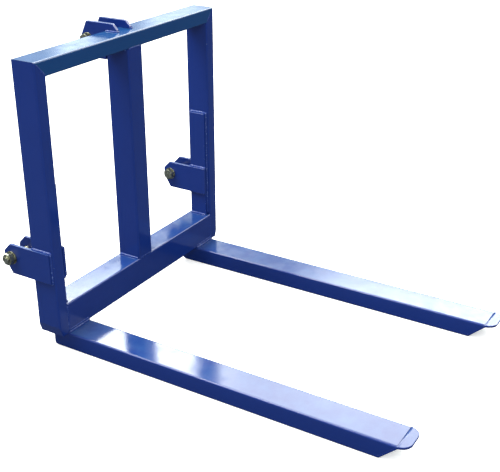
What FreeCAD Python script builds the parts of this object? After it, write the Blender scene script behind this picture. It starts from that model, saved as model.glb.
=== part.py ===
import FreeCAD, Part
import math
import os

# Pallet fork attachment for a tractor's three-point linkage: a welded frame of box section
# that stands on two fixed tines, with two lower link clevises and a top link clevis.
# X runs across the frame, the tines point to -Y and the linkage is on the +Y side, Z is up.
# The origin is on the ground, under the middle of the whole length. Sizes are in millimetres.

# Frame
frame_width = 920.0
frame_height = 893.0
frame_depth = 90.0
upright_width = 45.0
top_rail_height = 50.0
bottom_rail_height = 104.0
post_width = 74.0
frame_wall = 4.0
frame_corner = 6.0
foot_bevel_width = 12.0
foot_bevel_height = 35.0
foot_cap_thickness = 5.0

# Flat bars that double the inner walls of the uprights
doubler_thickness = 12.0
doubler_height = 406.0
doubler_setback = 12.0

# Lower link clevises: the pin place is taken from the frame's underside and rear face
link_pin_height = 251.0
link_pin_setback = 76.0
link_lug_thickness = 10.0
link_lug_rise = 45.0
link_lug_drop = 57.0
link_lug_nose = 30.0
link_lug_front = 10.0
link_top_chamfer_run = 25.0
link_top_chamfer_rise = 26.0
link_lower_chamfer_run = 27.0
link_lower_chamfer_rise = 45.0

# Top link clevis: the pin place is taken from the frame's top and rear face
top_pin_drop = 34.0
top_pin_setback = 70.0
top_lug_thickness = 12.0
top_lug_gap = 55.0
top_lug_height = 118.0
top_lug_nose = 30.0
top_lug_front = 39.0
top_nose_chamfer_run = 26.0
top_nose_chamfer_rise = 55.0
top_front_chamfer = 19.0
top_front_round = 12.0
lug_corner = 4.0

# Hexagon bolts, nuts and washers
bolt_diameter = 24.0
bolt_hole_clearance = 1.0
bolt_head_height = 15.0
bolt_across_flats = 36.0
bolt_end_length = 5.0
bolt_end_chamfer = 2.0
nut_height = 19.0
nut_thread_clearance = 0.2
washer_diameter = 44.0
washer_thickness = 4.0
hexagon_face_ratio = 0.95
hexagon_chamfer_angle = 30.0

# Tines
tine_width = 105.0
tine_height = 60.0
tine_wall = 5.0
tine_corner = 6.0
tine_inset = 38.0
tine_reach = 1135.0
tine_heel = 63.0
heel_bevel_length = 10.0
heel_bevel_height = 8.0
end_cap_thickness = 5.0
nose_slant = 64.0
nose_thickness = 8.0
nose_bend_radius = 10.0
lip_length = 34.0
lip_corner = 34.0

# Welds: the radius of each bead about its joint line
fillet_radius = 6.0
foot_bead_radius = 4.0
seam_radius = 5.5
seam_rise = 1.2
mitre_seam_gap = 2.0
heel_bead_radius = 9.0

# Places that follow from the sizes
deck = tine_height
half_width = frame_width / 2
inner_x = half_width - upright_width
doubler_x = inner_x - doubler_thickness
frame_top = deck + frame_height
top_rail_bottom = frame_top - top_rail_height
bottom_rail_top = deck + bottom_rail_height
tine_outer_x = half_width - tine_inset
tine_inner_x = tine_outer_x - tine_width
link_pin_y = frame_depth + link_pin_setback
link_pin_z = deck + link_pin_height
top_pin_y = frame_depth + top_pin_setback
top_pin_z = frame_top - top_pin_drop
top_lug_x = top_lug_gap / 2 + top_lug_thickness
tip_y = -(tine_reach + lip_length)
rear_y = max(link_pin_y + link_lug_nose, top_pin_y + top_lug_nose)
bolt_hole_diameter = bolt_diameter + bolt_hole_clearance

# A length that is sure to pass right across the part
beyond = 2 * frame_width


def vec(x, y, z):
    return FreeCAD.Vector(x, y, z)


def edges_along(shape, axis):
    """The straight edges of a shape that run along the axis."""
    def runs_along(edge):
        if not isinstance(edge.Curve, Part.Line):
            return False
        return abs(edge.Curve.Direction.dot(axis)) > 0.999
    return [edge for edge in shape.Edges if runs_along(edge)]


def solid_section(width, depth, length, corner):
    """A bar with rounded edges that stands on the origin: width on X, depth on Y, length on Z."""
    bar = Part.makeBox(width, depth, length, vec(-width / 2, -depth / 2, 0))
    return bar.makeFillet(corner, edges_along(bar, vec(0, 0, 1)))


def bore_section(width, depth, length, wall, corner):
    """The hollow of a box section of the same outer size."""
    inner_corner = max(corner - wall, wall / 4)
    return solid_section(width - 2 * wall, depth - 2 * wall, length, inner_corner)


def laid_on_x(bar, start_x, y, z):
    """Lays a standing bar along +X from start_x, its width upright, its axis at y and z."""
    bar.rotate(vec(0, 0, 0), vec(0, 1, 0), 90)
    bar.translate(vec(start_x, y, z))
    return bar


def laid_on_y(bar, x, start_y, z):
    """Lays a standing bar along +Y from start_y, its width level, its axis at x and z."""
    bar.rotate(vec(0, 0, 0), vec(1, 0, 0), -90)
    bar.translate(vec(x, start_y, z))
    return bar


def prism_on_y(points, start_y, length):
    """A prism whose outline is given as (x, z) points."""
    corners = [vec(x, start_y, z) for x, z in points]
    outline = Part.makePolygon(corners + corners[:1])
    return Part.Face(outline).extrude(vec(0, length, 0))


def prism_on_x(points, start_x, length):
    """A prism whose outline is given as (y, z) points."""
    corners = [vec(start_x, y, z) for y, z in points]
    outline = Part.makePolygon(corners + corners[:1])
    return Part.Face(outline).extrude(vec(length, 0, 0))


def rod_between(start, end, radius):
    axis = end - start
    return Part.makeCylinder(radius, axis.Length, start, axis)


def mirrored(shape):
    """The same shape on the other side of the middle plane."""
    return shape.mirror(vec(0, 0, 0), vec(1, 0, 0))


def upright_clip():
    """The wedge past the left mitre plane, which the top rail takes up."""
    return prism_on_y([
        (-half_width - upright_width, frame_top + top_rail_height),
        (-inner_x + upright_width, top_rail_bottom - top_rail_height),
        (-inner_x + upright_width, frame_top + top_rail_height),
    ], 0, frame_depth)


def left_upright_blank():
    """The outer form of the left upright, with its mitred top and bevelled foot."""
    blank = solid_section(upright_width, frame_depth, frame_height, frame_corner)
    blank.translate(vec(-half_width + upright_width / 2, frame_depth / 2, deck))
    bevel = prism_on_y([
        (-half_width, deck),
        (-half_width + foot_bevel_width, deck),
        (-half_width, deck + foot_bevel_height),
    ], 0, frame_depth)
    return blank.cut(upright_clip()).cut(bevel)


def foot_cap_band():
    """The layer along the bevel and the underside that the bent foot cap takes up."""
    lean = foot_bevel_width / foot_bevel_height
    wall_x = -half_width + foot_cap_thickness * math.hypot(1, lean)
    band_top = deck + foot_bevel_height
    floor = deck + foot_cap_thickness
    return prism_on_y([
        (-half_width, band_top),
        (-half_width, deck),
        (-inner_x, deck),
        (-inner_x, floor),
        (wall_x + foot_bevel_width - foot_cap_thickness * lean, floor),
        (wall_x, band_top),
    ], 0, frame_depth)


def left_upright(blank):
    hollow = bore_section(upright_width, frame_depth, frame_height, frame_wall, frame_corner)
    hollow.translate(vec(-half_width + upright_width / 2, frame_depth / 2, deck))
    return blank.cut(hollow).cut(foot_cap_band())


def left_foot_cap(blank):
    return blank.common(foot_cap_band())


def top_rail_blank():
    """The outer form of the top rail, mitred at both ends."""
    bar = solid_section(top_rail_height, frame_depth, frame_width, frame_corner)
    bar = laid_on_x(bar, -half_width, frame_depth / 2, frame_top - top_rail_height / 2)
    return bar.common(rail_keep())


def rail_keep():
    """The space between and above the two mitre planes, as deep as the frame."""
    slope = upright_width / top_rail_height
    lift = top_rail_height
    spread = half_width + lift * slope
    return prism_on_y([
        (-inner_x, top_rail_bottom),
        (inner_x, top_rail_bottom),
        (spread, frame_top + lift),
        (-spread, frame_top + lift),
    ], 0, frame_depth)


def top_rail(blank):
    hollow = bore_section(top_rail_height, frame_depth, frame_width, frame_wall, frame_corner)
    hollow = laid_on_x(hollow, -half_width, frame_depth / 2, frame_top - top_rail_height / 2)
    return blank.cut(hollow)


def bottom_rail_blank():
    bar = solid_section(bottom_rail_height, frame_depth, 2 * inner_x, frame_corner)
    return laid_on_x(bar, -inner_x, frame_depth / 2, deck + bottom_rail_height / 2)


def bottom_rail(blank):
    hollow = bore_section(bottom_rail_height, frame_depth, 2 * inner_x, frame_wall, frame_corner)
    return blank.cut(laid_on_x(hollow, -inner_x, frame_depth / 2, deck + bottom_rail_height / 2))


def centre_post_blank():
    length = top_rail_bottom - bottom_rail_top
    bar = solid_section(post_width, frame_depth, length, frame_corner)
    bar.translate(vec(0, frame_depth / 2, bottom_rail_top))
    return bar


def centre_post(blank):
    length = top_rail_bottom - bottom_rail_top
    hollow = bore_section(post_width, frame_depth, length, frame_wall, frame_corner)
    hollow.translate(vec(0, frame_depth / 2, bottom_rail_top))
    return blank.cut(hollow)


def left_doubler():
    depth = frame_depth - 2 * doubler_setback
    corner = vec(-inner_x, doubler_setback, bottom_rail_top)
    return Part.makeBox(doubler_thickness, depth, doubler_height, corner)


def drilled(plate, y, z):
    """The plate with a bolt hole through it along X."""
    hole = rod_between(vec(-beyond, y, z), vec(beyond, y, z), bolt_hole_diameter / 2)
    return plate.cut(hole)


def link_lug(start_x):
    """A lower link plate, welded flat against an upright, with its outer side at start_x."""
    top = link_pin_z + link_lug_rise
    bottom = link_pin_z - link_lug_drop
    rear = link_pin_y + link_lug_nose
    plate = prism_on_x([
        (link_lug_front, bottom),
        (link_lug_front, top),
        (rear - link_top_chamfer_run, top),
        (rear, top - link_top_chamfer_rise),
        (rear, bottom + link_lower_chamfer_rise),
        (rear - link_lower_chamfer_run, bottom),
    ], start_x, link_lug_thickness)
    plate = plate.makeFillet(lug_corner, edges_along(plate, vec(1, 0, 0)))
    return drilled(plate, link_pin_y, link_pin_z)


def top_lug(start_x):
    """A top link plate that stands on the top rail and hooks down behind it."""
    top = top_pin_z + top_lug_height / 2
    bottom = top_pin_z - top_lug_height / 2
    rear = top_pin_y + top_lug_nose
    plate = prism_on_x([
        (top_lug_front, frame_top),
        (top_lug_front, top - top_front_chamfer),
        (top_lug_front + top_front_chamfer, top),
        (rear - top_nose_chamfer_run, top),
        (rear, top - top_nose_chamfer_rise),
        (rear, bottom + top_nose_chamfer_rise),
        (rear - top_nose_chamfer_run, bottom),
        (frame_depth, bottom),
        (frame_depth, frame_top),
    ], start_x, top_lug_thickness)
    shoulder_y = top_lug_front + top_front_chamfer
    free_edges = [edge for edge in edges_along(plate, vec(1, 0, 0)) if not on_frame(edge)]
    shoulder = [edge for edge in free_edges if abs(edge.CenterOfMass.y - shoulder_y) < 1]
    plate = plate.makeFillet(top_front_round, shoulder)
    free_edges = [edge for edge in edges_along(plate, vec(1, 0, 0)) if not on_frame(edge)]
    sharp = [edge for edge in free_edges if abs(edge.CenterOfMass.y - shoulder_y) > top_front_round]
    plate = plate.makeFillet(lug_corner, sharp)
    return drilled(plate, top_pin_y, top_pin_z)


def on_frame(edge):
    """Whether an edge lies on the top rail's upper face or on the frame's rear face."""
    place = edge.CenterOfMass
    return abs(place.z - frame_top) < 1 or abs(place.y - frame_depth) < 1


def hexagon_prism(height):
    radius = bolt_across_flats / 2 / math.cos(math.pi / 6)
    points = [
        vec(radius * math.cos(turn * math.pi / 3), radius * math.sin(turn * math.pi / 3), 0)
        for turn in range(6)
    ]
    return Part.Face(Part.makePolygon(points + points[:1])).extrude(vec(0, 0, height))


def chamfer_cone(height):
    """A cone that trims the corners of a hexagon at its top face."""
    face_radius = bolt_across_flats / 2 * hexagon_face_ratio
    spread = height / math.tan(math.radians(hexagon_chamfer_angle))
    return Part.makeCone(face_radius + spread, face_radius, height)


def bolt_solid(grip):
    """A hexagon bolt along +Z, its head under the seat at z = 0, its end past the nut."""
    head = hexagon_prism(bolt_head_height).common(chamfer_cone(bolt_head_height))
    head.rotate(vec(0, 0, 0), vec(1, 0, 0), 180)
    length = grip + nut_height + bolt_end_length
    straight = Part.makeCylinder(bolt_diameter / 2, length - bolt_end_chamfer)
    end_radius = bolt_diameter / 2 - bolt_end_chamfer
    point = Part.makeCone(bolt_diameter / 2, end_radius, bolt_end_chamfer,
                          vec(0, 0, length - bolt_end_chamfer))
    return head.fuse([straight, point]).removeSplitter()


def nut_solid():
    """A hexagon nut on z = 0, both faces trimmed."""
    upper = chamfer_cone(nut_height)
    lower = chamfer_cone(nut_height)
    lower.rotate(vec(0, 0, nut_height / 2), vec(1, 0, 0), 180)
    body = hexagon_prism(nut_height).common(upper).common(lower)
    bore = Part.makeCylinder(bolt_diameter / 2 + nut_thread_clearance / 2, nut_height)
    return body.cut(bore)


def washer_solid():
    ring = Part.makeCylinder(washer_diameter / 2, washer_thickness)
    return ring.cut(Part.makeCylinder(bolt_hole_diameter / 2, washer_thickness))


def fastener_set(head_face, nut_face, y, z):
    """Bolt, nut and washers across a clevis, between the plate faces under the head and the nut."""
    grip = abs(nut_face - head_face) + 2 * washer_thickness
    side = math.copysign(1, nut_face - head_face)
    bolt = bolt_solid(grip)
    nut = nut_solid()
    nut.rotate(vec(0, 0, 0), vec(0, 0, 1), 30)
    nut.translate(vec(0, 0, grip))
    head_washer = washer_solid()
    nut_washer = washer_solid()
    nut_washer.translate(vec(0, 0, grip - washer_thickness))
    placed = []
    for shape in (bolt, nut, Part.makeCompound([head_washer, nut_washer])):
        shape.rotate(vec(0, 0, 0), vec(0, 1, 0), 90 * side)
        shape.translate(vec(head_face - side * washer_thickness, y, z))
        placed.append(shape)
    return placed


def tine_blank():
    """The outer form of the left tine with its slanted front end and bevelled heel."""
    length = tine_reach + tine_heel
    bar = solid_section(tine_width, tine_height, length, tine_corner)
    bar = laid_on_y(bar, -(tine_outer_x + tine_inner_x) / 2, -tine_reach, tine_height / 2)
    return bar.cut(nose_clip()).cut(heel_clip())


def nose_clip():
    """The wedge under the slanted front end of the left tine."""
    return prism_on_x([
        (-tine_reach, deck),
        (-tine_reach + nose_slant, 0),
        (-tine_reach - nose_slant, 0),
        (-tine_reach - nose_slant, deck),
    ], -tine_outer_x, tine_width)


def heel_clip():
    """The bevel along the lower edge of the heel of the left tine."""
    return prism_on_x([
        (tine_heel, 0),
        (tine_heel, heel_bevel_height),
        (tine_heel - heel_bevel_length, 0),
    ], -tine_outer_x, tine_width)


def left_tine(blank):
    length = tine_reach + tine_heel
    hollow = bore_section(tine_width, tine_height, length, tine_wall, tine_corner)
    hollow = laid_on_y(hollow, -(tine_outer_x + tine_inner_x) / 2, -tine_reach, tine_height / 2)
    return blank.cut(hollow).cut(end_cap_slab())


def end_cap_slab():
    corner = vec(-tine_outer_x, tine_heel - end_cap_thickness, 0)
    return Part.makeBox(tine_width, end_cap_thickness, tine_height, corner)


def left_tine_end_cap(blank):
    return blank.common(end_cap_slab())


def left_tine_nose():
    """A plate bent from the slanted end of the tine into a level lip with rounded corners."""
    slant = math.hypot(nose_slant, tine_height)
    down = (nose_slant / slant, -tine_height / slant)
    out = (down[1], -down[0])
    bend = math.atan2(tine_height, nose_slant)
    outer_radius = nose_bend_radius + nose_thickness
    tangent = outer_radius * math.tan(bend / 2)
    groove = (-tine_reach, deck)
    foot = (-tine_reach + nose_slant, 0)
    outer_foot = (foot[0] - nose_thickness / math.sin(bend), 0)
    under_start = offset(groove, down, tangent)
    under_start = offset(under_start, out, nose_thickness)
    outline = [
        line_on(groove[0] - tangent, deck, tip_y, deck),
        line_on(tip_y, deck, tip_y, deck - nose_thickness),
        line_on(tip_y, deck - nose_thickness, groove[0] - tangent, deck - nose_thickness),
        bend_arc(groove[0] - tangent, deck - outer_radius, nose_bend_radius, bend),
        line_on(*under_start, *outer_foot),
        line_on(*outer_foot, *foot),
        line_on(*foot, *offset(groove, down, tangent)),
        bend_arc(groove[0] - tangent, deck - outer_radius, outer_radius, bend),
    ]
    plate = Part.Face(Part.Wire(outline)).extrude(vec(tine_width, 0, 0))
    plate.translate(vec(-tine_outer_x, 0, 0))
    plate = plate.makeFillet(lip_corner, edges_along(plate, vec(0, 0, 1)))
    foot_edges = [edge for edge in edges_along(plate, vec(0, 1, 0)) if edge.CenterOfMass.z < 1]
    return plate.makeFillet(tine_corner, foot_edges)


def offset(point, direction, distance):
    """A point moved along a direction in the (y, z) plane."""
    return point[0] + direction[0] * distance, point[1] + direction[1] * distance


def line_on(start_y, start_z, end_y, end_z):
    """A straight edge in the plane x = 0."""
    return Part.makeLine(vec(0, start_y, start_z), vec(0, end_y, end_z))


def bend_arc(centre_y, centre_z, radius, bend):
    """An arc in the plane x = 0 from straight up, turned towards +Y by the bend."""
    def on_arc(angle):
        return vec(0, centre_y + radius * math.sin(angle), centre_z + radius * math.cos(angle))
    return Part.Arc(on_arc(0), on_arc(bend / 2), on_arc(bend)).toShape()


def weld_bead(points, radius, neighbours):
    """A bead of weld metal: a round rod along the joint, less the steel that it lies on."""
    turns = [vec(*point) for point in points]
    pieces = [rod_between(start, end, radius) for start, end in zip(turns, turns[1:])]
    pieces += [Part.makeSphere(radius, turn) for turn in turns[1:-1]]
    bead = pieces[0]
    if len(pieces) > 1:
        bead = bead.fuse(pieces[1:]).removeSplitter()
    return bead.cut(neighbours)


def seam_depths():
    """Where the middle lines of the flush seams lie, at the front and at the rear face."""
    inset = seam_radius - seam_rise
    return inset, frame_depth - inset


def corner_weld_beads(upright, rail):
    """Seams across the top left mitre, front and rear, and a fillet in its inner corner."""
    steel = [upright, rail]
    slope = top_rail_height / upright_width
    outer = (-half_width + frame_corner, frame_top - frame_corner * slope)
    inner = (-inner_x - mitre_seam_gap, top_rail_bottom + mitre_seam_gap * slope)
    beads = [weld_bead([(outer[0], y, outer[1]), (inner[0], y, inner[1])],
                       seam_radius, steel)
             for y in seam_depths()]
    low = (-inner_x, frame_corner, top_rail_bottom)
    high = (-inner_x, frame_depth - frame_corner, top_rail_bottom)
    return beads + [weld_bead([low, high], fillet_radius, steel)]


def rail_weld_beads(upright, rail):
    """Upright seams that fill the grooves between the bottom rail's left end and the upright."""
    low = deck + frame_corner
    high = bottom_rail_top - frame_corner
    return [weld_bead([(-inner_x, y, low), (-inner_x, y, high)], seam_radius, [upright, rail])
            for y in seam_depths()]


def post_weld_beads(post, upper, lower, lugs):
    """Fillets beside the post and seams in front of and behind it, at both ends."""
    steel = [post, upper, lower, *lugs]
    front = frame_corner
    back = frame_depth - frame_corner
    flat = post_width / 2 - frame_corner
    beads = []
    for z in (bottom_rail_top, top_rail_bottom):
        for x in (-post_width / 2, post_width / 2):
            beads.append(weld_bead([(x, front, z), (x, back, z)], fillet_radius, steel))
        for y in seam_depths():
            beads.append(weld_bead([(-flat, y, z), (flat, y, z)], seam_radius, steel))
    return beads


def doubler_weld_beads(upright, doubler, rail):
    """One bead up, across and down the edges of the left doubler, and one along its foot."""
    steel = [upright, doubler, rail]
    top = bottom_rail_top + doubler_height
    near = doubler_setback
    far = frame_depth - doubler_setback
    foot = bottom_rail_top + fillet_radius
    x = -inner_x
    edge_bead = [(x, near, foot), (x, near, top), (x, far, top), (x, far, foot)]
    foot_bead = [(-doubler_x, near, bottom_rail_top), (-doubler_x, far, bottom_rail_top)]
    return [weld_bead(edge_bead, fillet_radius, steel),
            weld_bead(foot_bead, fillet_radius, steel)]


def link_lug_weld_beads(upright, doubler, outer_lug, inner_lug):
    """Beads round the left lugs where they lie on the upright and on its doubler."""
    steel = [upright, doubler, outer_lug, inner_lug]
    top = link_pin_z + link_lug_rise
    bottom = link_pin_z - link_lug_drop
    near = link_lug_front
    x = -half_width
    far = frame_depth - frame_corner
    front_bead = [(x, far, bottom), (x, near, bottom), (x, near, top), (x, far, top)]
    rear_bead = [(x, far, bottom), (x, far, top)]
    x = -doubler_x
    far = frame_depth - doubler_setback
    inner_bead = [(x, near, bottom), (x, far, bottom), (x, far, top), (x, near, top)]
    return [weld_bead(points, fillet_radius, steel)
            for points in (front_bead, rear_bead, inner_bead)]


def top_lug_weld_beads(lug, rail, post, post_welds):
    """Beads along the foot of the left top lug, on the rail and on the post's rear face."""
    steel = [lug, rail, post, post_welds]
    outside = -top_lug_x
    inside = -top_lug_gap / 2
    front = top_lug_front
    bottom = top_pin_z - top_lug_height / 2
    low = top_rail_bottom + frame_corner
    high = frame_top - frame_corner
    foot_path = [(outside, frame_depth - frame_corner, frame_top), (outside, front, frame_top),
                 (inside, front, frame_top)]
    rail_path = [(outside, frame_depth, low), (outside, frame_depth, high)]
    post_path = [(inside, frame_depth, bottom), (inside, frame_depth, high)]
    return [weld_bead(foot_path, foot_bead_radius, steel),
            weld_bead(rail_path, fillet_radius, steel),
            weld_bead(post_path, fillet_radius, steel)]


def tine_weld_beads(tine, rail, upright, rail_welds):
    """Beads round the heel of the left tine where the frame stands on it."""
    steel = [tine, rail, upright, rail_welds]
    left = -tine_outer_x + tine_corner / 2
    right = -tine_inner_x - tine_corner / 2
    sink = heel_bead_radius / 3
    side_end = tine_heel - tine_corner
    front_bead = [(left, sink, deck + sink), (right, sink, deck + sink)]
    beads = [weld_bead(front_bead, heel_bead_radius, steel),
             weld_bead([(left, tine_heel, deck), (right, tine_heel, deck)], fillet_radius, steel)]
    for x in (-tine_outer_x, -tine_inner_x):
        side_bead = [(x, frame_corner, deck), (x, side_end, deck)]
        beads.append(weld_bead(side_bead, fillet_radius, steel))
    return beads


def group(beads):
    """One group of the separate solids of several beads, joined where they meet."""
    joined = beads[0].fuse(beads[1:])
    return Part.makeCompound(joined.Solids)


def both_sides(nodes, name, shape):
    nodes["left_" + name] = shape
    nodes["right_" + name] = mirrored(shape)


def build_nodes():
    """Every piece by its name, with y = 0 at the front face of the frame."""
    nodes = {}
    upright = left_upright_blank()
    rail_top = top_rail_blank()
    rail_bottom = bottom_rail_blank()
    post = centre_post_blank()
    tine = tine_blank()
    doubler = left_doubler()
    outer_lug = link_lug(-half_width - link_lug_thickness)
    inner_lug = link_lug(-doubler_x)
    lug = top_lug(-top_lug_x)

    both_sides(nodes, "upright", left_upright(upright))
    both_sides(nodes, "foot_cap", left_foot_cap(upright))
    nodes["top_rail"] = top_rail(rail_top)
    nodes["bottom_rail"] = bottom_rail(rail_bottom)
    nodes["centre_post"] = centre_post(post)
    both_sides(nodes, "doubler", doubler)

    both_sides(nodes, "link_lug_outer", outer_lug)
    both_sides(nodes, "link_lug_inner", inner_lug)
    bolt, nut, washers = fastener_set(-doubler_x + link_lug_thickness,
                                      -half_width - link_lug_thickness,
                                      link_pin_y, link_pin_z)
    both_sides(nodes, "link_bolt", bolt)
    both_sides(nodes, "link_nut", nut)
    both_sides(nodes, "link_washers", washers)

    nodes["top_link_lug_left"] = lug
    nodes["top_link_lug_right"] = mirrored(lug)
    bolt, nut, washers = fastener_set(-top_lug_x, top_lug_x, top_pin_y, top_pin_z)
    nodes["top_link_bolt"] = bolt
    nodes["top_link_nut"] = nut
    nodes["top_link_washers"] = washers

    both_sides(nodes, "tine", left_tine(tine))
    both_sides(nodes, "tine_nose", left_tine_nose())
    both_sides(nodes, "tine_end_cap", left_tine_end_cap(tine))

    rail_welds = group(rail_weld_beads(upright, rail_bottom))
    post_welds = group(post_weld_beads(post, rail_top, rail_bottom, [lug, mirrored(lug)]))
    both_sides(nodes, "corner_welds", group(corner_weld_beads(upright, rail_top)))
    both_sides(nodes, "rail_welds", rail_welds)
    nodes["post_welds"] = post_welds
    beads = doubler_weld_beads(upright, doubler, rail_bottom)
    both_sides(nodes, "doubler_welds", group(beads))
    beads = link_lug_weld_beads(upright, doubler, outer_lug, inner_lug)
    both_sides(nodes, "lug_welds", group(beads))
    beads = top_lug_weld_beads(lug, rail_top, post, post_welds)
    both_sides(nodes, "top_lug_welds", group(beads))
    beads = tine_weld_beads(tine, rail_bottom, upright, rail_welds)
    both_sides(nodes, "tine_welds", group(beads))
    return nodes


def main():
    """Moves every piece so that the middle of the whole length lies over the origin."""
    os.makedirs("parts", exist_ok=True)
    to_origin = vec(0, -(rear_y + tip_y) / 2, 0)
    for name, shape in build_nodes().items():
        shape.translate(to_origin)
        shape.exportStep("parts/" + name + ".step")


main()
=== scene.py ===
import math

import bmesh
import bpy
from mathutils import Matrix, Quaternion, Vector


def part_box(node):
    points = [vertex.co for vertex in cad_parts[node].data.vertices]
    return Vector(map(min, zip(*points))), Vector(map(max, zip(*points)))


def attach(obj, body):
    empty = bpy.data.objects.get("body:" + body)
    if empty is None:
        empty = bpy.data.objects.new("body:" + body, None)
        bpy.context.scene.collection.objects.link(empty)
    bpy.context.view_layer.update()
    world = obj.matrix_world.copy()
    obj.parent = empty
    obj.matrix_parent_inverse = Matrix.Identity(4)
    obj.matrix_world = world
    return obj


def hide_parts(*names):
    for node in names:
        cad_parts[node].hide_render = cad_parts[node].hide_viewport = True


# Looks for a pallet fork attachment: gloss blue paint, rippled welds, and bolts with
# cut threads in yellow zinc. Lengths are in metres and X runs across the frame.

# Camera, with angles in degrees, and lens and sensor in millimetres
CAMERA_PLACE = Vector((-2.3317, -1.3368, 1.6034))
CAMERA_AZIMUTH = -59.112
CAMERA_ELEVATION = 24.937
CAMERA_ROLL = 0.024
CAMERA_LENS = 66.612
CAMERA_SENSOR = 36.0

# Bright parts of the sky: the radiance, the span of heights and the span of bearings. A
# height is the direction's Z and a bearing is in radians, to the right of straight ahead.
# A span has its start, where it is full, where it begins to fall, and its end.
SKY_PARTS = (
    (7.2, (0.44, 0.57, 0.70, 0.78), (-0.75, -0.50, 0.50, 0.75)),
    (8.0, (0.46, 0.51, 0.60, 0.66), (0.70, 0.80, 1.25, 1.35)),
    (10.5, (0.445, 0.475, 0.55, 0.575), (-0.60, -0.45, -0.065, -0.015)),
    (10.5, (0.445, 0.475, 0.525, 0.555), (0.055, 0.105, 0.55, 0.65)),
    (2.3, (0.12, 0.18, 0.27, 0.31), (-0.215, -0.20, -0.175, -0.16)),
    (2.3, (0.12, 0.18, 0.27, 0.31), (-0.12, -0.105, -0.055, -0.035)),
)

# Heights between which the dim horizon gives way to the dome, and the dome turns warmer
HORIZON_HEIGHTS = (0.12, 0.22)
WARM_HEIGHTS = (0.44, 0.57)

# Soft square lights: the name, the place, the side and the power in watts
LIGHTS = (
    ("overhead", (-1.3, 2.5, 5.1), 2.8, 420),
    ("key", (-2.6, -3.2, 4.6), 2.6, 140),
)
LIGHT_TARGET = (0, 0, 0.3)

# Paint: the enamel where it is full and where it is thin, and the colour of its chips. The thin colour
# also lightens round edges, partly as thinner paint and partly as a painted highlight.
FULL_BLUE = (0.006, 0.021, 0.14, 1)
THIN_AND_SHEEN_BLUE = (0.010, 0.034, 0.22, 1)
CHIP_BLUE = (0.12, 0.16, 0.28, 1)
# A tealer blue for the top rail.
TEAL_FULL_BLUE = (0.003, 0.034, 0.130, 1)
TEAL_THIN_AND_SHEEN_BLUE = (0.005, 0.052, 0.185, 1)
# Pale chips on the plates' edges: partly chipped paint, partly a painted highlight on those edges.
PLATE_CHIP_AND_SHEEN_BLUE = (0.20, 0.27, 0.48, 1)
# On the beads the thin colour lightens the curved sides: partly thinner paint, partly a painted
# highlight.
BEAD_THIN_AND_SHEEN_BLUE = (0.014, 0.044, 0.26, 1)
# Pale chips on the beads: partly chipped paint, partly painted glints.
BEAD_CHIP_AND_SHEEN_BLUE = (0.07, 0.12, 0.34, 1)
# Colour of the upward faces' clouds: partly dust, partly painted light from above.
DUST_AND_TOP_LIGHT_BLUE = (0.04, 0.13, 0.30, 1)

# Rounding of the box sections, and of the cut edges of plates under their paint. Edges
# that turn by more than EDGE_ANGLE are rounded. Faces within FLAT_ANGLE count as one.
SECTION_CORNER = 0.006
PLATE_EDGE = 0.0018
EDGE_STEPS = 3
EDGE_ANGLE = math.radians(35)
FLAT_ANGLE = math.radians(0.5)

# Weld beads
FILLET_RADIUS = 0.006
SEAM_RADIUS = 0.0055
SEAM_RISE = 0.0012
MITRE_SEAM_GAP = 0.002
FOOT_BEAD_RADIUS = 0.004
HEEL_PASS_RADIUS = 0.0055
# Middle line of each pass at the heel: its depth behind the rail's face, and its height
# above the deck
HEEL_PASSES = ((0.0005, 0.0015), (0.0035, 0.0085))
CORNER_BEND = 0.004

# Ripples of the beads. They curve back by RIPPLE_LEAN at the sides, RIPPLE_SINK of their
# height lies below the tube's surface, and they wander along the bead by RIPPLE_WANDER.
RIPPLE_LENGTH = 0.0030
RIPPLE_HEIGHT = 0.0008
RIPPLE_LEAN = 0.0022
RIPPLE_SINK = 0.75
RIPPLE_WANDER = 0.006
RIPPLE_WANDER_SCALE = 130.0
BEAD_END_SHARE = 0.7
BEAD_STEP = 0.00055
BEAD_SIDES = 14

# Bolts. RIDGE_HALF_SHARE is half the width of the thread's ridge as a share of the pitch,
# and SHANK_OVERLAP is how far the thinned shank reaches past the root of the thread.
BOLT_DIAMETER = 0.024
BOLT_HEAD = 0.015
BOLT_EDGE = 0.0005
THREAD_PITCH = 0.003
THREAD_DEPTH = 0.0018
THREAD_STEPS = 32
RIDGE_HALF_SHARE = 0.44
SHANK_OVERLAP = 0.0001
THREAD_END_CHAMFER = 0.002

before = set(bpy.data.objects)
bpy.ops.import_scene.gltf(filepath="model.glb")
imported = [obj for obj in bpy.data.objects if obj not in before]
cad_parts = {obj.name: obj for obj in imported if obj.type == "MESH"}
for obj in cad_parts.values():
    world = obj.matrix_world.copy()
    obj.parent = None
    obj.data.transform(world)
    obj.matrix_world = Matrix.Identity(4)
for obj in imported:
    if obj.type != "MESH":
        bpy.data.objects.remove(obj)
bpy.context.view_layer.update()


def add_node(tree, kind, inputs=None, **settings):
    """Adds a node and gives each named input a value or a link."""
    node = tree.nodes.new(kind)
    for name, value in settings.items():
        setattr(node, name, value)
    for name, value in (inputs or {}).items():
        plug(tree, node.inputs[name], value)
    return node


def plug(tree, socket, value):
    """Links an output to the socket, or gives the socket a plain value."""
    if isinstance(value, bpy.types.NodeSocket):
        tree.links.new(value, socket)
    else:
        socket.default_value = value


def calculate(tree, operation, *values):
    """The output of a Math node fed with values or links."""
    node = tree.nodes.new("ShaderNodeMath")
    node.operation = operation
    for socket, value in zip(node.inputs, values):
        plug(tree, socket, value)
    return node.outputs[0]


def add_sockets(tree, direction, sockets):
    """Names the inputs or outputs of a node group, each with its kind and default value."""
    for name, kind, default in sockets:
        socket = tree.interface.new_socket(name, in_out=direction, socket_type="NodeSocket" + kind)
        if default is not None:
            socket.default_value = default


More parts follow.
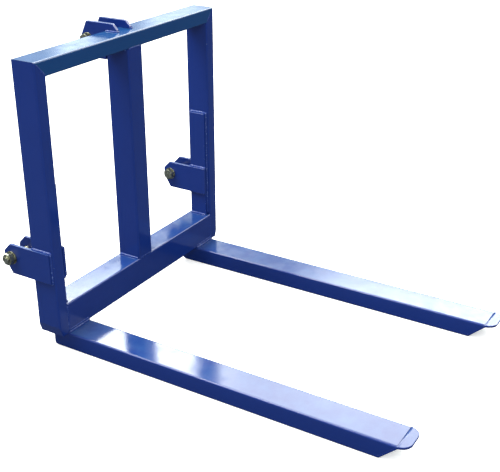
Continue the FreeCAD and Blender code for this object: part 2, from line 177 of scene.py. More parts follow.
def make_camera():
    """The camera that took the photo, as fitted to the object's outline."""
    azimuth = math.radians(CAMERA_AZIMUTH)
    elevation = math.radians(CAMERA_ELEVATION)
    aim = Vector((-math.sin(azimuth) * math.cos(elevation),
                  math.cos(azimuth) * math.cos(elevation),
                  -math.sin(elevation)))
    data = bpy.data.cameras.new("camera")
    data.lens = CAMERA_LENS
    data.sensor_width = CAMERA_SENSOR
    camera = bpy.data.objects.new("camera", data)
    camera.location = CAMERA_PLACE
    camera.rotation_mode = "QUATERNION"
    roll = Quaternion((0, 0, 1), math.radians(CAMERA_ROLL))
    camera.rotation_quaternion = aim.to_track_quat("-Z", "Y") @ roll
    bpy.context.scene.collection.objects.link(camera)
    bpy.context.scene.camera = camera


def area_light(name, place, target, side, power):
    """A square soft light that faces the target."""
    data = bpy.data.lights.new(name, "AREA")
    data.shape = "RECTANGLE"
    data.size = side
    data.size_y = side
    data.energy = power
    light = bpy.data.objects.new(name, data)
    light.location = place
    light.rotation_euler = (Vector(target) - Vector(place)).to_track_quat("-Z", "Y").to_euler()
    bpy.context.scene.collection.objects.link(light)


def stretch(tree, value, low, high):
    """The value's place between low and high, from 0 to 1."""
    return add_node(tree, "ShaderNodeMapRange", {
        "Value": value, "From Min": low, "From Max": high}).outputs["Result"]


def product(tree, first, *rest):
    """The values or links multiplied together."""
    for value in rest:
        first = calculate(tree, "MULTIPLY", first, value)
    return first


def span(tree, value, start, full, fall, end):
    """1 where the value is well inside the span, with soft ends."""
    return product(tree, stretch(tree, value, start, full), stretch(tree, value, end, fall))


def bearing_of(tree, direction):
    """The angle of a direction to the right of straight ahead, in radians."""
    azimuth = math.radians(CAMERA_AZIMUTH)
    across = (math.cos(azimuth), math.sin(azimuth), 0)
    along = (-math.sin(azimuth), math.cos(azimuth), 0)
    parts = []
    for axis in (across, along):
        dot = add_node(tree, "ShaderNodeVectorMath", operation="DOT_PRODUCT")
        plug(tree, dot.inputs[0], direction)
        plug(tree, dot.inputs[1], axis)
        parts.append(dot.outputs["Value"])
    return calculate(tree, "ARCTAN2", *parts)


def make_light():
    """A pale dome over a dim horizon, with bright parts that the top faces mirror, and two lights."""
    bpy.context.scene.view_settings.view_transform = "Standard"
    world = bpy.data.worlds.new("studio")
    bpy.context.scene.world = world
    world.use_nodes = True
    tree = world.node_tree
    direction = tree.nodes.new("ShaderNodeTexCoord").outputs["Generated"]
    height = add_node(tree, "ShaderNodeSeparateXYZ", {"Vector": direction}).outputs["Z"]
    bearing = bearing_of(tree, direction)
    strength = 1.0
    for radiance, heights, bearings in SKY_PARTS:
        share = product(tree, span(tree, height, *heights), span(tree, bearing, *bearings))
        strength = calculate(tree, "MULTIPLY_ADD", share, radiance, strength)
    horizon = (0.10, 0.12, 0.17, 1)
    cool = (0.86, 0.97, 1.0, 1)
    warm = (1.0, 1.0, 0.92, 1)
    dome = mix_colour(tree, stretch(tree, height, *WARM_HEIGHTS), cool, warm)
    colour = mix_colour(tree, stretch(tree, height, *HORIZON_HEIGHTS), horizon, dome)
    seen = tree.nodes.new("ShaderNodeLightPath").outputs["Is Camera Ray"]
    background = tree.nodes["Background"]
    plug(tree, background.inputs["Color"], mix_colour(tree, seen, colour, (1, 1, 1, 1)))
    plug(tree, background.inputs["Strength"], strength)
    for name, place, side, power in LIGHTS:
        area_light(name, place, LIGHT_TARGET, side, power)


def make_floor():
    """A plain pale floor, wide enough to fill the view."""
    reach = 30.0
    mesh = bpy.data.meshes.new("floor")
    corners = [(-reach, -reach, 0), (reach, -reach, 0), (reach, reach, 0), (-reach, reach, 0)]
    mesh.from_pydata(corners, [], [(0, 1, 2, 3)])
    floor = bpy.data.objects.new("floor", mesh)
    bpy.context.scene.collection.objects.link(floor)
    material = bpy.data.materials.new("pale_floor")
    material.use_nodes = True
    tree = material.node_tree
    shader = tree.nodes["Principled BSDF"]
    rays = tree.nodes.new("ShaderNodeLightPath").outputs
    seen = (0.88, 0.88, 0.88, 1)
    bounced = (0.22, 0.22, 0.22, 1)
    mirrored = (0.03, 0.04, 0.06, 1)
    seen_glow = 0.45
    colour = mix_colour(tree, rays["Is Camera Ray"], bounced, seen)
    colour = mix_colour(tree, rays["Is Glossy Ray"], colour, mirrored)
    plug(tree, shader.inputs["Base Color"], colour)
    shader.inputs["Emission Color"].default_value = (1, 1, 1, 1)
    plug(tree, shader.inputs["Emission Strength"], product(tree, rays["Is Camera Ray"], seen_glow))
    shader.inputs["Roughness"].default_value = 0.9
    mesh.materials.append(material)


def rounded_edges_group():
    """How far a face leans away from the three main directions: 0 on flats, 1 on round edges."""
    tree = bpy.data.node_groups.new("rounded_edges", "ShaderNodeTree")
    add_sockets(tree, "INPUT", [("Start", "Float", 0.02), ("Full", "Float", 0.25)])
    add_sockets(tree, "OUTPUT", [("Edge", "Float", None)])
    given = tree.nodes.new("NodeGroupInput")
    result = tree.nodes.new("NodeGroupOutput")
    normal = tree.nodes.new("ShaderNodeNewGeometry").outputs["Normal"]
    split = add_node(tree, "ShaderNodeSeparateXYZ", {"Vector": normal})
    lengths = [calculate(tree, "ABSOLUTE", split.outputs[axis]) for axis in "XYZ"]
    longest = calculate(tree, "MAXIMUM", lengths[0], calculate(tree, "MAXIMUM", *lengths[1:]))
    lean = calculate(tree, "SUBTRACT", 1.0, longest)
    edge = stretch(tree, lean, given.outputs["Start"], given.outputs["Full"])
    plug(tree, result.inputs["Edge"], edge)
    return tree


def scattered_marks_group():
    """Scattered small marks: a mask that is 1 inside the marks, with soft rims."""
    tree = bpy.data.node_groups.new("scattered_marks", "ShaderNodeTree")
    add_sockets(tree, "INPUT", [("Size", "Float", 0.01), ("Cover", "Float", 0.1),
                                ("Softness", "Float", 0.03), ("Seed", "Float", 0.0)])
    add_sockets(tree, "OUTPUT", [("Mask", "Float", None)])
    given = tree.nodes.new("NodeGroupInput")
    result = tree.nodes.new("NodeGroupOutput")
    place = tree.nodes.new("ShaderNodeTexCoord").outputs["Object"]
    moved = add_node(tree, "ShaderNodeVectorMath", operation="ADD")
    plug(tree, moved.inputs[0], place)
    plug(tree, moved.inputs[1], given.outputs["Seed"])
    scale = calculate(tree, "DIVIDE", 1.0, given.outputs["Size"])
    noise = add_node(tree, "ShaderNodeTexNoise", {
        "Vector": moved.outputs["Vector"], "Scale": scale, "Detail": 5.0, "Roughness": 0.6})
    rim = calculate(tree, "SUBTRACT", 0.72, product(tree, given.outputs["Cover"], 0.5))
    full = calculate(tree, "ADD", rim, given.outputs["Softness"])
    plug(tree, result.inputs["Mask"], stretch(tree, noise.outputs["Fac"], rim, full))
    return tree


def dust_and_top_light_group():
    """Clouds on the faces turned up, partly fine dust and partly painted light from above."""
    tree = bpy.data.node_groups.new("dust_and_top_light_clouds", "ShaderNodeTree")
    add_sockets(tree, "INPUT", [("Cloud Size", "Float", 0.07), ("Most", "Float", 0.34)])
    add_sockets(tree, "OUTPUT", [("Mask", "Float", None)])
    given = tree.nodes.new("NodeGroupInput")
    result = tree.nodes.new("NodeGroupOutput")
    normal = tree.nodes.new("ShaderNodeNewGeometry").outputs["Normal"]
    up = add_node(tree, "ShaderNodeSeparateXYZ", {"Vector": normal}).outputs["Z"]
    place = tree.nodes.new("ShaderNodeTexCoord").outputs["Object"]
    clouds = add_node(tree, "ShaderNodeTexNoise", {
        "Vector": place, "Scale": calculate(tree, "DIVIDE", 1.0, given.outputs["Cloud Size"]),
        "Detail": 5.0, "Roughness": 0.6}).outputs["Fac"]
    mask = product(tree, stretch(tree, up, 0.8, 1.0), stretch(tree, clouds, 0.15, 0.75),
                   given.outputs["Most"])
    plug(tree, result.inputs["Mask"], mask)
    return tree


def sprayed_film_group():
    """Height of a sprayed paint film: fine orange peel on a slow waviness."""
    tree = bpy.data.node_groups.new("sprayed_film", "ShaderNodeTree")
    add_sockets(tree, "INPUT", [("Peel Size", "Float", 0.003), ("Wave Size", "Float", 0.09),
                                ("Peel Share", "Float", 0.3)])
    add_sockets(tree, "OUTPUT", [("Height", "Float", None)])
    given = tree.nodes.new("NodeGroupInput")
    result = tree.nodes.new("NodeGroupOutput")
    place = tree.nodes.new("ShaderNodeTexCoord").outputs["Object"]
    layers = []
    for size in ("Peel Size", "Wave Size"):
        scale = calculate(tree, "DIVIDE", 1.0, given.outputs[size])
        noise = add_node(tree, "ShaderNodeTexNoise", {
            "Vector": place, "Scale": scale, "Detail": 2.0, "Roughness": 0.5})
        layers.append(noise.outputs["Fac"])
    peel = product(tree, layers[0], given.outputs["Peel Share"])
    height = calculate(tree, "ADD", layers[1], peel)
    plug(tree, result.inputs["Height"], height)
    return tree


def use_group(tree, group, inputs=None):
    return add_node(tree, "ShaderNodeGroup", inputs, node_tree=group)


def mix_colour(tree, share, one, two):
    node = add_node(tree, "ShaderNodeMix", data_type="RGBA")
    plug(tree, node.inputs[0], share)
    plug(tree, node.inputs[6], one)
    plug(tree, node.inputs[7], two)
    return node.outputs[2]


def gloss_paint(name, groups, full_colour, thin_and_sheen_colour, chip_colour, chip_cover, edge_name=None):
    """Sprayed gloss enamel, thinner and lighter on round edges, where the lightening is partly a
    painted highlight, chipped here and there.

    The edges are the mesh attribute with the given name, or else all leaning faces.
    """
    material = bpy.data.materials.new(name)
    material.use_nodes = True
    tree = material.node_tree
    shader = tree.nodes["Principled BSDF"]
    if edge_name:
        edge = add_node(tree, "ShaderNodeAttribute", attribute_name=edge_name).outputs["Fac"]
    else:
        edge = use_group(tree, groups["edge"]).outputs["Edge"]
    place = tree.nodes.new("ShaderNodeTexCoord").outputs["Object"]
    cloud = add_node(tree, "ShaderNodeTexNoise", {
        "Vector": place, "Scale": 5.0, "Detail": 3.0, "Roughness": 0.55}).outputs["Fac"]
    # Lighter where the paint is thinner at random, and on round edges, where the lightening is partly
    # thinner paint and partly a painted highlight.
    thin_and_sheen = calculate(tree, "ADD", product(tree, cloud, 0.45), product(tree, edge, 0.30))
    paint = mix_colour(tree, thin_and_sheen, full_colour, thin_and_sheen_colour)
    # Upward faces lighter in clouds: partly settled dust, partly painted light from above.
    dust_and_top_light = use_group(tree, groups["dust_and_top_light"]).outputs["Mask"]
    paint = mix_colour(tree, dust_and_top_light, paint, DUST_AND_TOP_LIGHT_BLUE)
    marks = use_group(tree, groups["marks"], {
        "Size": 0.006, "Cover": chip_cover, "Softness": 0.02, "Seed": 3.0}).outputs["Mask"]
    chips = product(tree, marks, edge)
    plug(tree, shader.inputs["Base Color"], mix_colour(tree, chips, paint, chip_colour))
    smudge = add_node(tree, "ShaderNodeTexNoise", {
        "Vector": place, "Scale": 22.0, "Detail": 6.0, "Roughness": 0.65}).outputs["Fac"]
    gloss = add_node(tree, "ShaderNodeMapRange", {
        "Value": smudge, "From Min": 0.35, "From Max": 0.75, "To Min": 0.05, "To Max": 0.17})
    dull = product(tree, calculate(tree, "MAXIMUM", chips, dust_and_top_light), 0.15)
    rough = calculate(tree, "ADD", gloss.outputs["Result"], dull)
    plug(tree, shader.inputs["Roughness"], rough)
    film = use_group(tree, groups["film"]).outputs["Height"]
    height = calculate(tree, "SUBTRACT", film, chips)
    bump = add_node(tree, "ShaderNodeBump", {
        "Height": height, "Strength": 0.5, "Distance": 0.0004})
    plug(tree, shader.inputs["Normal"], bump.outputs["Normal"])
    return material


def yellow_zinc(name, groups):
    """Zinc plating with a yellow to olive bloom and duller worn spots."""
    material = bpy.data.materials.new(name)
    material.use_nodes = True
    tree = material.node_tree
    shader = tree.nodes["Principled BSDF"]
    shader.inputs["Metallic"].default_value = 0.9
    place = tree.nodes.new("ShaderNodeTexCoord").outputs["Object"]
    bloom = add_node(tree, "ShaderNodeTexNoise", {
        "Vector": place, "Scale": 70.0, "Detail": 4.0, "Roughness": 0.6}).outputs["Fac"]
    ramp = add_node(tree, "ShaderNodeValToRGB", {"Fac": bloom})
    ramp.color_ramp.elements[0].position = 0.3
    ramp.color_ramp.elements[0].color = (0.15, 0.16, 0.11, 1)
    ramp.color_ramp.elements[1].position = 0.7
    ramp.color_ramp.elements[1].color = (0.50, 0.49, 0.36, 1)
    middle = ramp.color_ramp.elements.new(0.52)
    middle.color = (0.29, 0.30, 0.20, 1)
    worn = use_group(tree, groups["marks"], {
        "Size": 0.004, "Cover": 0.35, "Softness": 0.08, "Seed": 9.0}).outputs["Mask"]
    colour = mix_colour(tree, worn, ramp.outputs["Color"], (0.55, 0.55, 0.52, 1))
    plug(tree, shader.inputs["Base Color"], colour)
    rough = add_node(tree, "ShaderNodeMapRange", {
        "Value": bloom, "From Min": 0.3, "From Max": 0.7, "To Min": 0.12, "To Max": 0.30})
    plug(tree, shader.inputs["Roughness"], rough.outputs["Result"])
    grain = add_node(tree, "ShaderNodeTexNoise", {
        "Vector": place, "Scale": 900.0, "Detail": 2.0}).outputs["Fac"]
    bump = add_node(tree, "ShaderNodeBump", {"Height": grain, "Strength": 0.3, "Distance": 0.0001})
    plug(tree, shader.inputs["Normal"], bump.outputs["Normal"])
    return material


def weld_bead_tree():
    """A bead along each line: a tube whose surface rises in crescent ripples."""
    tree = bpy.data.node_groups.new("weld_bead", "GeometryNodeTree")
    add_sockets(tree, "INPUT", [
        ("Lines", "Geometry", None), ("Ripple Length", "Float", RIPPLE_LENGTH),
        ("Ripple Height", "Float", RIPPLE_HEIGHT), ("Ripple Lean", "Float", RIPPLE_LEAN),
        ("Step", "Float", BEAD_STEP), ("Sides", "Int", BEAD_SIDES), ("Seed", "Float", 0.0),
        ("Material", "Material", None)])
    add_sockets(tree, "OUTPUT", [("Bead", "Geometry", None)])
    given = tree.nodes.new("NodeGroupInput").outputs
    result = tree.nodes.new("NodeGroupOutput")
    lines = add_node(tree, "GeometryNodeMeshToCurve", {"Mesh": given["Lines"]})
    points = add_node(tree, "GeometryNodeResampleCurve", {
        "Curve": lines.outputs["Curve"], "Length": given["Step"]}, mode="LENGTH")
    along = tree.nodes.new("GeometryNodeSplineParameter").outputs["Length"]
    whole = tree.nodes.new("GeometryNodeSplineLength").outputs["Length"]
    to_end = calculate(tree, "MINIMUM", along, calculate(tree, "SUBTRACT", whole, along))
    radius = add_node(tree, "GeometryNodeInputNamedAttribute", {"Name": "bead_radius"},
                      data_type="FLOAT").outputs["Attribute"]
    taper = add_node(tree, "ShaderNodeMapRange", {
        "Value": to_end, "From Min": 0.0, "From Max": radius, "To Min": BEAD_END_SHARE, "To Max": 1.0},
        interpolation_type="SMOOTHSTEP").outputs["Result"]
    kept = add_node(tree, "GeometryNodeCaptureAttribute", {"Geometry": points.outputs["Curve"]})
    kept.capture_items.new("FLOAT", "along")
    kept.capture_items.new("FLOAT", "size")
    plug(tree, kept.inputs["along"], along)
    plug(tree, kept.inputs["size"], product(tree, radius, taper))
    circle = add_node(tree, "GeometryNodeCurvePrimitiveCircle", {
        "Resolution": given["Sides"], "Radius": 1.0})
    tube = add_node(tree, "GeometryNodeCurveToMesh", {
        "Curve": kept.outputs["Geometry"], "Profile Curve": circle.outputs["Curve"],
        "Scale": kept.outputs["size"], "Fill Caps": True})
    normal = tree.nodes.new("GeometryNodeInputNormal").outputs["Normal"]
    outward = add_node(tree, "GeometryNodeInputNamedAttribute", {"Name": "outward"},
                       data_type="FLOAT_VECTOR").outputs["Attribute"]
    facing = add_node(tree, "ShaderNodeVectorMath", operation="DOT_PRODUCT")
    plug(tree, facing.inputs[0], normal)
    plug(tree, facing.inputs[1], outward)
    lean = product(tree, facing.outputs["Value"], given["Ripple Lean"])
    place = tree.nodes.new("GeometryNodeInputPosition").outputs["Position"]
    wander = add_node(tree, "ShaderNodeTexNoise", {
        "Vector": place, "W": given["Seed"], "Scale": RIPPLE_WANDER_SCALE, "Detail": 1.0},
        noise_dimensions="4D").outputs["Fac"]
    shift = product(tree, calculate(tree, "SUBTRACT", wander, 0.5), RIPPLE_WANDER)
    travel = calculate(tree, "ADD", kept.outputs["along"], calculate(tree, "ADD", lean, shift))
    turn = product(tree, calculate(tree, "DIVIDE", travel, given["Ripple Length"]), math.pi)
    crest = calculate(tree, "ABSOLUTE", calculate(tree, "SINE", turn))
    rise = product(tree, calculate(tree, "SUBTRACT", crest, RIPPLE_SINK), given["Ripple Height"])
    offset = add_node(tree, "ShaderNodeVectorMath", operation="SCALE")
    plug(tree, offset.inputs[0], normal)
    plug(tree, offset.inputs["Scale"], rise)
    rippled = add_node(tree, "GeometryNodeSetPosition", {
        "Geometry": tube.outputs["Mesh"], "Offset": offset.outputs["Vector"]})
    smooth = add_node(tree, "GeometryNodeSetShadeSmooth", {"Geometry": rippled.outputs["Geometry"]})
    real = add_node(tree, "GeometryNodeRealizeInstances", {"Geometry": smooth.outputs["Geometry"]})
    painted = add_node(tree, "GeometryNodeSetMaterial", {
        "Geometry": real.outputs["Geometry"], "Material": given["Material"]})
    plug(tree, result.inputs["Bead"], painted.outputs["Geometry"])
    return tree


def thread_tree():
    """A bolt's right-hand thread about +Z: a ridge wound round the thinned shank."""
    tree = bpy.data.node_groups.new("cut_thread", "GeometryNodeTree")
    add_sockets(tree, "INPUT", [
        ("Base", "Geometry", None), ("Diameter", "Float", BOLT_DIAMETER),
        ("Pitch", "Float", THREAD_PITCH), ("Depth", "Float", THREAD_DEPTH),
        ("Length", "Float", 0.1), ("Material", "Material", None)])
    add_sockets(tree, "OUTPUT", [("Thread", "Geometry", None)])
    given = tree.nodes.new("NodeGroupInput").outputs
    result = tree.nodes.new("NodeGroupOutput")
    crest = product(tree, given["Diameter"], 0.5)
    root = calculate(tree, "SUBTRACT", crest, given["Depth"])
    turns = calculate(tree, "DIVIDE", given["Length"], given["Pitch"])
    winding = add_node(tree, "GeometryNodeCurveSpiral", {
        "Resolution": THREAD_STEPS, "Rotations": turns, "Start Radius": root, "End Radius": root,
        "Height": given["Length"], "Reverse": True})
    upright = add_node(tree, "GeometryNodeSetCurveNormal", {"Curve": winding.outputs["Curve"]},
                       mode="Z_UP")
    half = product(tree, given["Pitch"], RIDGE_HALF_SHARE)
    low = add_node(tree, "ShaderNodeCombineXYZ", {"Y": product(tree, half, -1.0)})
    high = add_node(tree, "ShaderNodeCombineXYZ", {"Y": half})
    tip = add_node(tree, "ShaderNodeCombineXYZ", {"X": given["Depth"]})
    ridge = add_node(tree, "GeometryNodeCurvePrimitiveQuadrilateral", {
        "Point 1": low.outputs["Vector"], "Point 2": tip.outputs["Vector"],
        "Point 3": high.outputs["Vector"], "Point 4": (0.0, 0.0, 0.0)}, mode="POINTS")
    wound = add_node(tree, "GeometryNodeCurveToMesh", {
        "Curve": upright.outputs["Curve"], "Profile Curve": ridge.outputs["Curve"],
        "Fill Caps": True})
    real = add_node(tree, "GeometryNodeRealizeInstances", {"Geometry": wound.outputs["Mesh"]})
    plated = add_node(tree, "GeometryNodeSetMaterial", {
        "Geometry": real.outputs["Geometry"], "Material": given["Material"]})
    plug(tree, result.inputs["Thread"], plated.outputs["Geometry"])
    return tree


def run_tree(mesh, tree, values):
    """Runs a Geometry Nodes tree on a mesh with named inputs, and returns the plain result."""
    source = bpy.data.objects.new(mesh.name, mesh)
    bpy.context.scene.collection.objects.link(source)
    modifier = source.modifiers.new("nodes", "NODES")
    modifier.node_group = tree
    for item in tree.interface.items_tree:
        if item.item_type == "SOCKET" and item.in_out == "INPUT" and item.name in values:
            modifier[item.identifier] = values[item.name]
    graph = bpy.context.evaluated_depsgraph_get()
    plain = bpy.data.meshes.new_from_object(source.evaluated_get(graph))
    bpy.data.objects.remove(source)
    return plain


def place_piece(name, mesh, replaced):
    """Shows a mesh that stands for the given CAD nodes."""
    mesh.name = name
    piece = bpy.data.objects.new(name, mesh)
    bpy.context.scene.collection.objects.link(piece)
    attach(piece, "root")
    if replaced:
        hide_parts(*replaced)


def softened(node, material, width=PLATE_EDGE, reshape=None):
    """A copy of a CAD piece with its sharp edges rounded as paint or plating leaves them.

    The attribute eased_edge is 1 on the faces of the rounded edges. reshape, where given,
    moves the copy's points before that.
    """
    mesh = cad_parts[node].data.copy()
    work = bmesh.new()
    work.from_mesh(mesh)
    bmesh.ops.remove_doubles(work, verts=work.verts, dist=1e-6)
    if reshape:
        reshape(work.verts)
    bmesh.ops.dissolve_limit(work, angle_limit=FLAT_ANGLE, verts=work.verts, edges=work.edges)
    work.to_mesh(mesh)
    work.free()
    mesh.materials.clear()
    mesh.materials.append(material)
    mesh.materials.append(material)
    temporary = bpy.data.objects.new(node + "_work", mesh)
    bpy.context.scene.collection.objects.link(temporary)
    bevel = temporary.modifiers.new("edges", "BEVEL")
    bevel.width = width
    bevel.segments = EDGE_STEPS
    bevel.limit_method = "ANGLE"
    bevel.angle_limit = EDGE_ANGLE
    bevel.harden_normals = True
    bevel.material = 1
    graph = bpy.context.evaluated_depsgraph_get()
    plain = bpy.data.meshes.new_from_object(temporary.evaluated_get(graph))
    bpy.data.objects.remove(temporary)
    eased = plain.attributes.new("eased_edge", "FLOAT", "FACE")
    eased.data.foreach_set("value", [face.material_index for face in plain.polygons])
    plain.polygons.foreach_set("material_index", [0] * len(plain.polygons))
    plain.materials.pop(index=1)
    place_piece(node + "_finished", plain, [node])


def thin_shank(points, axis):
    """Brings the points on a shank's surface in, until only the thread's ridge reaches out."""
    outside = BOLT_DIAMETER / 2
    root = outside - THREAD_DEPTH + SHANK_OVERLAP
    for point in points:
        arm = (point.co - axis) * Vector((0, 1, 1))
        if abs(arm.length - outside) < 1e-4:
            point.co -= arm * (1 - root / arm.length)


def make_fasteners(zinc):
    """Nuts and washers with eased edges, and bolts whose shanks carry a wound thread."""
    tree = thread_tree()
    for place in ("left_link", "right_link", "top_link"):
        low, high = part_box(place + "_bolt")
        nut_low, nut_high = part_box(place + "_nut")
        nut_side = 1 if nut_low.x + nut_high.x > low.x + high.x else -1
        axis = Vector((0, (low.y + high.y) / 2, (low.z + high.z) / 2))
        softened(place + "_bolt", zinc, BOLT_EDGE,
                 lambda points: thin_shank(points, axis))
        softened(place + "_nut", zinc, BOLT_EDGE)
        softened(place + "_washers", zinc, BOLT_EDGE)
        seat = low.x + BOLT_HEAD if nut_side > 0 else high.x - BOLT_HEAD
        length = high.x - low.x - BOLT_HEAD - THREAD_END_CHAMFER
        start = bpy.data.meshes.new(place + "_thread_start")
        thread = run_tree(start, tree, {"Length": length, "Material": zinc})
        turn = Matrix.Rotation(nut_side * math.pi / 2, 4, "Y")
        thread.transform(Matrix.Translation((seat, axis.y, axis.z)) @ turn)
        place_piece(place + "_bolt_thread", thread, [])


class WeldLines:
    """The joint lines of one weld group, each point with the bead's radius and outward side."""

    def __init__(self):
        self.points, self.links, self.sizes, self.sides = [], [], [], []

    def run(self, corners, outward, radius):
        """Adds a line through the corners. outward has one direction for each straight leg."""
        corners = [Vector(corner) for corner in corners]
        outward = [Vector(side).normalized() for side in outward]
        path = [(corners[0], outward[0])]
        for number in range(1, len(corners) - 1):
            corner = corners[number]
            back = (corners[number - 1] - corner).normalized() * CORNER_BEND
            ahead = (corners[number + 1] - corner).normalized() * CORNER_BEND
            for share in (0.0, 0.25, 0.5, 0.75, 1.0):
                one = corner + back * (1 - share) ** 2 + ahead * share ** 2
                side = outward[number - 1].lerp(outward[number], share)
                path.append((one, side.normalized()))
        path.append((corners[-1], outward[-1]))
        first = len(self.points)
        for number, (point, side) in enumerate(path):
            self.points.append(point)
            self.sides.append(side)
            self.sizes.append(radius)
            if number:
                self.links.append((first + number - 1, first + number))

    def mesh(self, name, across=1):
        """The lines as a mesh of edges, mirrored in X where across is -1."""
        mesh = bpy.data.meshes.new(name)
        mirror = Vector((across, 1, 1))
        mesh.from_pydata([point * mirror for point in self.points], self.links, [])
        radius = mesh.attributes.new("bead_radius", "FLOAT", "POINT")
        radius.data.foreach_set("value", self.sizes)
        outward = mesh.attributes.new("outward", "FLOAT_VECTOR", "POINT")
        outward.data.foreach_set("vector", [x for side in self.sides for x in side * mirror])
        return mesh


def seam_depths(rail):
    """Y of the flush seams' middle lines, at the front and the rear face, with their sides."""
    inset = SEAM_RADIUS - SEAM_RISE
    return [(rail[0].y + inset, (0, -1, 0)), (rail[1].y - inset, (0, 1, 0))]


def corner_lines(box):
    """The mitre at the top left: a seam across each face and a fillet inside."""
    lines = WeldLines()
    rail = box["top_rail"]
    inner = box["left_upright"][1].x
    outer = rail[0].x + SECTION_CORNER
    slope = (rail[1].z - rail[0].z) / (inner - rail[0].x)
    for y, side in seam_depths(rail):
        lines.run([(outer, y, rail[1].z - SECTION_CORNER * slope),
                   (inner - MITRE_SEAM_GAP, y, rail[0].z + MITRE_SEAM_GAP * slope)],
                  [side], SEAM_RADIUS)
    lines.run([(inner, rail[0].y + SECTION_CORNER, rail[0].z),
               (inner, rail[1].y - SECTION_CORNER, rail[0].z)], [(1, 0, -1)], FILLET_RADIUS)
    return lines


def rail_lines(box):
    """The bottom rail's left end against the upright."""
    lines = WeldLines()
    rail = box["bottom_rail"]
    for y, side in seam_depths(rail):
        lines.run([(rail[0].x, y, rail[0].z + SECTION_CORNER),
                   (rail[0].x, y, rail[1].z - SECTION_CORNER)], [side], SEAM_RADIUS)
    return lines


def post_lines(box):
    """Both ends of the centre post."""
    lines = WeldLines()
    post = box["centre_post"]
    flat = post[1].x - SECTION_CORNER
    front = post[0].y + SECTION_CORNER
    back = post[1].y - SECTION_CORNER
    for z, up in ((post[0].z, 1), (post[1].z, -1)):
        for x, out in ((post[0].x, -1), (post[1].x, 1)):
            lines.run([(x, front, z), (x, back, z)], [(out, 0, up)], FILLET_RADIUS)
        for y, side in seam_depths(post):
            lines.run([(-flat, y, z), (flat, y, z)], [side], SEAM_RADIUS)
    return lines


def doubler_lines(box):
    """Up, across and down the left doubler's edges, and along its foot."""
    lines = WeldLines()
    low, high = box["left_doubler"]
    x = low.x
    foot = low.z + FILLET_RADIUS
    lines.run([(x, low.y, foot), (x, low.y, high.z), (x, high.y, high.z), (x, high.y, foot)],
              [(1, -1, 0), (1, 0, 1), (1, 1, 0)], FILLET_RADIUS)
    lines.run([(high.x, low.y, low.z), (high.x, high.y, low.z)], [(1, 0, 1)], FILLET_RADIUS)
    return lines


def link_lug_lines(box):
    """Round the left link lugs, on the upright's outer side and on the doubler."""
    lines = WeldLines()
    low, high = box["left_link_lug_outer"]
    x = high.x
    far = box["left_upright"][1].y - SECTION_CORNER
    lines.run([(x, far, low.z), (x, low.y, low.z), (x, low.y, high.z), (x, far, high.z)],
              [(-1, 0, -1), (-1, -1, 0), (-1, 0, 1)], FILLET_RADIUS)
    lines.run([(x, far, low.z), (x, far, high.z)], [(0.4, 1, 0)], FILLET_RADIUS)
    low, high = box["left_link_lug_inner"]
    x = low.x
    far = box["left_doubler"][1].y
    lines.run([(x, low.y, low.z), (x, far, low.z), (x, far, high.z), (x, low.y, high.z)],
              [(1, 0, -1), (-1, 1, 0), (1, 0, 1)], FILLET_RADIUS)
    return lines


def top_lug_lines(box):
    """Round the foot of the left top lug, down the rail and down the post."""
    lines = WeldLines()
    low, high = box["top_link_lug_left"]
    rail = box["top_rail"]
    front, back, top = low.y, rail[1].y, rail[1].z
    lines.run([(low.x, back - SECTION_CORNER, top), (low.x, front, top), (high.x, front, top)],
              [(-1, 0, 1), (0, -1, 1)], FOOT_BEAD_RADIUS)
    lines.run([(low.x, back, rail[0].z + SECTION_CORNER), (low.x, back, top - SECTION_CORNER)],
              [(-1, 1, 0)], FILLET_RADIUS)
    lines.run([(high.x, back, low.z), (high.x, back, top - SECTION_CORNER)],
              [(1, 1, 0)], FILLET_RADIUS)
    return lines


def tine_lines(box):
    """Round the left tine's heel: two passes in front, one behind and one at each side."""
    lines = WeldLines()
    low, high = box["left_tine"]
    front = box["bottom_rail"][0].y
    deck = box["bottom_rail"][0].z
    heel = box["left_tine_end_cap"][1].y
    left = low.x + SECTION_CORNER / 2
    right = high.x - SECTION_CORNER / 2
    for depth, rise in HEEL_PASSES:
        lines.run([(left, front + depth, deck + rise), (right, front + depth, deck + rise)],
                  [(0, -1, 1)], HEEL_PASS_RADIUS)
    lines.run([(left, heel, deck), (right, heel, deck)], [(0, 1, -1)], FILLET_RADIUS)
    for x, out in ((low.x, -1), (high.x, 1)):
        lines.run([(x, front + SECTION_CORNER, deck), (x, heel - SECTION_CORNER, deck)],
                  [(out, 0, -0.5)], FILLET_RADIUS)
    return lines


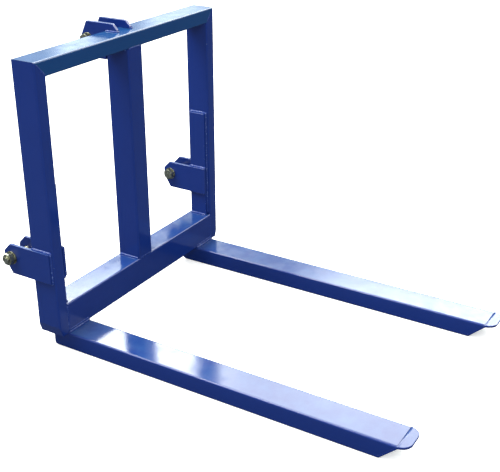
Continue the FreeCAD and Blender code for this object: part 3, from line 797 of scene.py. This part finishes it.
def make_welds(paint):
    """Every weld group, as rippled beads in place of the plain ones."""
    box = {name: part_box(name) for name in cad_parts}
    tree = weld_bead_tree()
    both = {"corner_welds": corner_lines, "rail_welds": rail_lines,
            "doubler_welds": doubler_lines, "lug_welds": link_lug_lines,
            "top_lug_welds": top_lug_lines, "tine_welds": tine_lines}
    jobs = [("post_welds", post_lines(box), 1)]
    for name, make_lines in both.items():
        lines = make_lines(box)
        jobs.append(("left_" + name, lines, 1))
        jobs.append(("right_" + name, lines, -1))
    for number, (node, lines, across) in enumerate(jobs):
        source = lines.mesh(node + "_lines", across)
        bead = run_tree(source, tree, {"Seed": float(number), "Material": paint})
        place_piece(node + "_beads", bead, [node])


def make_paints(groups):
    """The blue enamel of the bars, the top rail, the plates and the welds."""
    return {
        "bars": gloss_paint("gloss_blue", groups, FULL_BLUE, THIN_AND_SHEEN_BLUE, CHIP_BLUE, 0.05),
        "top_rail": gloss_paint("teal_blue", groups, TEAL_FULL_BLUE, TEAL_THIN_AND_SHEEN_BLUE,
                                CHIP_BLUE, 0.05),
        "plates": gloss_paint("plate_blue", groups, FULL_BLUE, THIN_AND_SHEEN_BLUE, PLATE_CHIP_AND_SHEEN_BLUE, 0.14,
                              "eased_edge"),
        "welds": gloss_paint("weld_blue", groups, FULL_BLUE, BEAD_THIN_AND_SHEEN_BLUE, BEAD_CHIP_AND_SHEEN_BLUE,
                             0.30)}


def coat_solids(paints, zinc):
    """Gives each CAD node its finish."""
    for name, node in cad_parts.items():
        finish = paints["bars"]
        if name == "top_rail":
            finish = paints["top_rail"]
        elif name.endswith(("_bolt", "_nut", "_washers")):
            finish = zinc
        node.data.materials.clear()
        node.data.materials.append(finish)


def make_plates(paint):
    """The link lugs, doublers and tine noses with eased edges."""
    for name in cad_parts:
        if "lug" in name and "welds" not in name:
            softened(name, paint)
    for side in ("left", "right"):
        softened(side + "_doubler", paint)
        softened(side + "_tine_nose", paint)


def main():
    make_camera()
    make_light()
    make_floor()
    groups = {"edge": rounded_edges_group(), "marks": scattered_marks_group(),
              "film": sprayed_film_group(), "dust_and_top_light": dust_and_top_light_group()}
    paints = make_paints(groups)
    zinc = yellow_zinc("yellow_zinc", groups)
    coat_solids(paints, zinc)
    make_welds(paints["welds"])
    make_plates(paints["plates"])
    make_fasteners(zinc)


main()
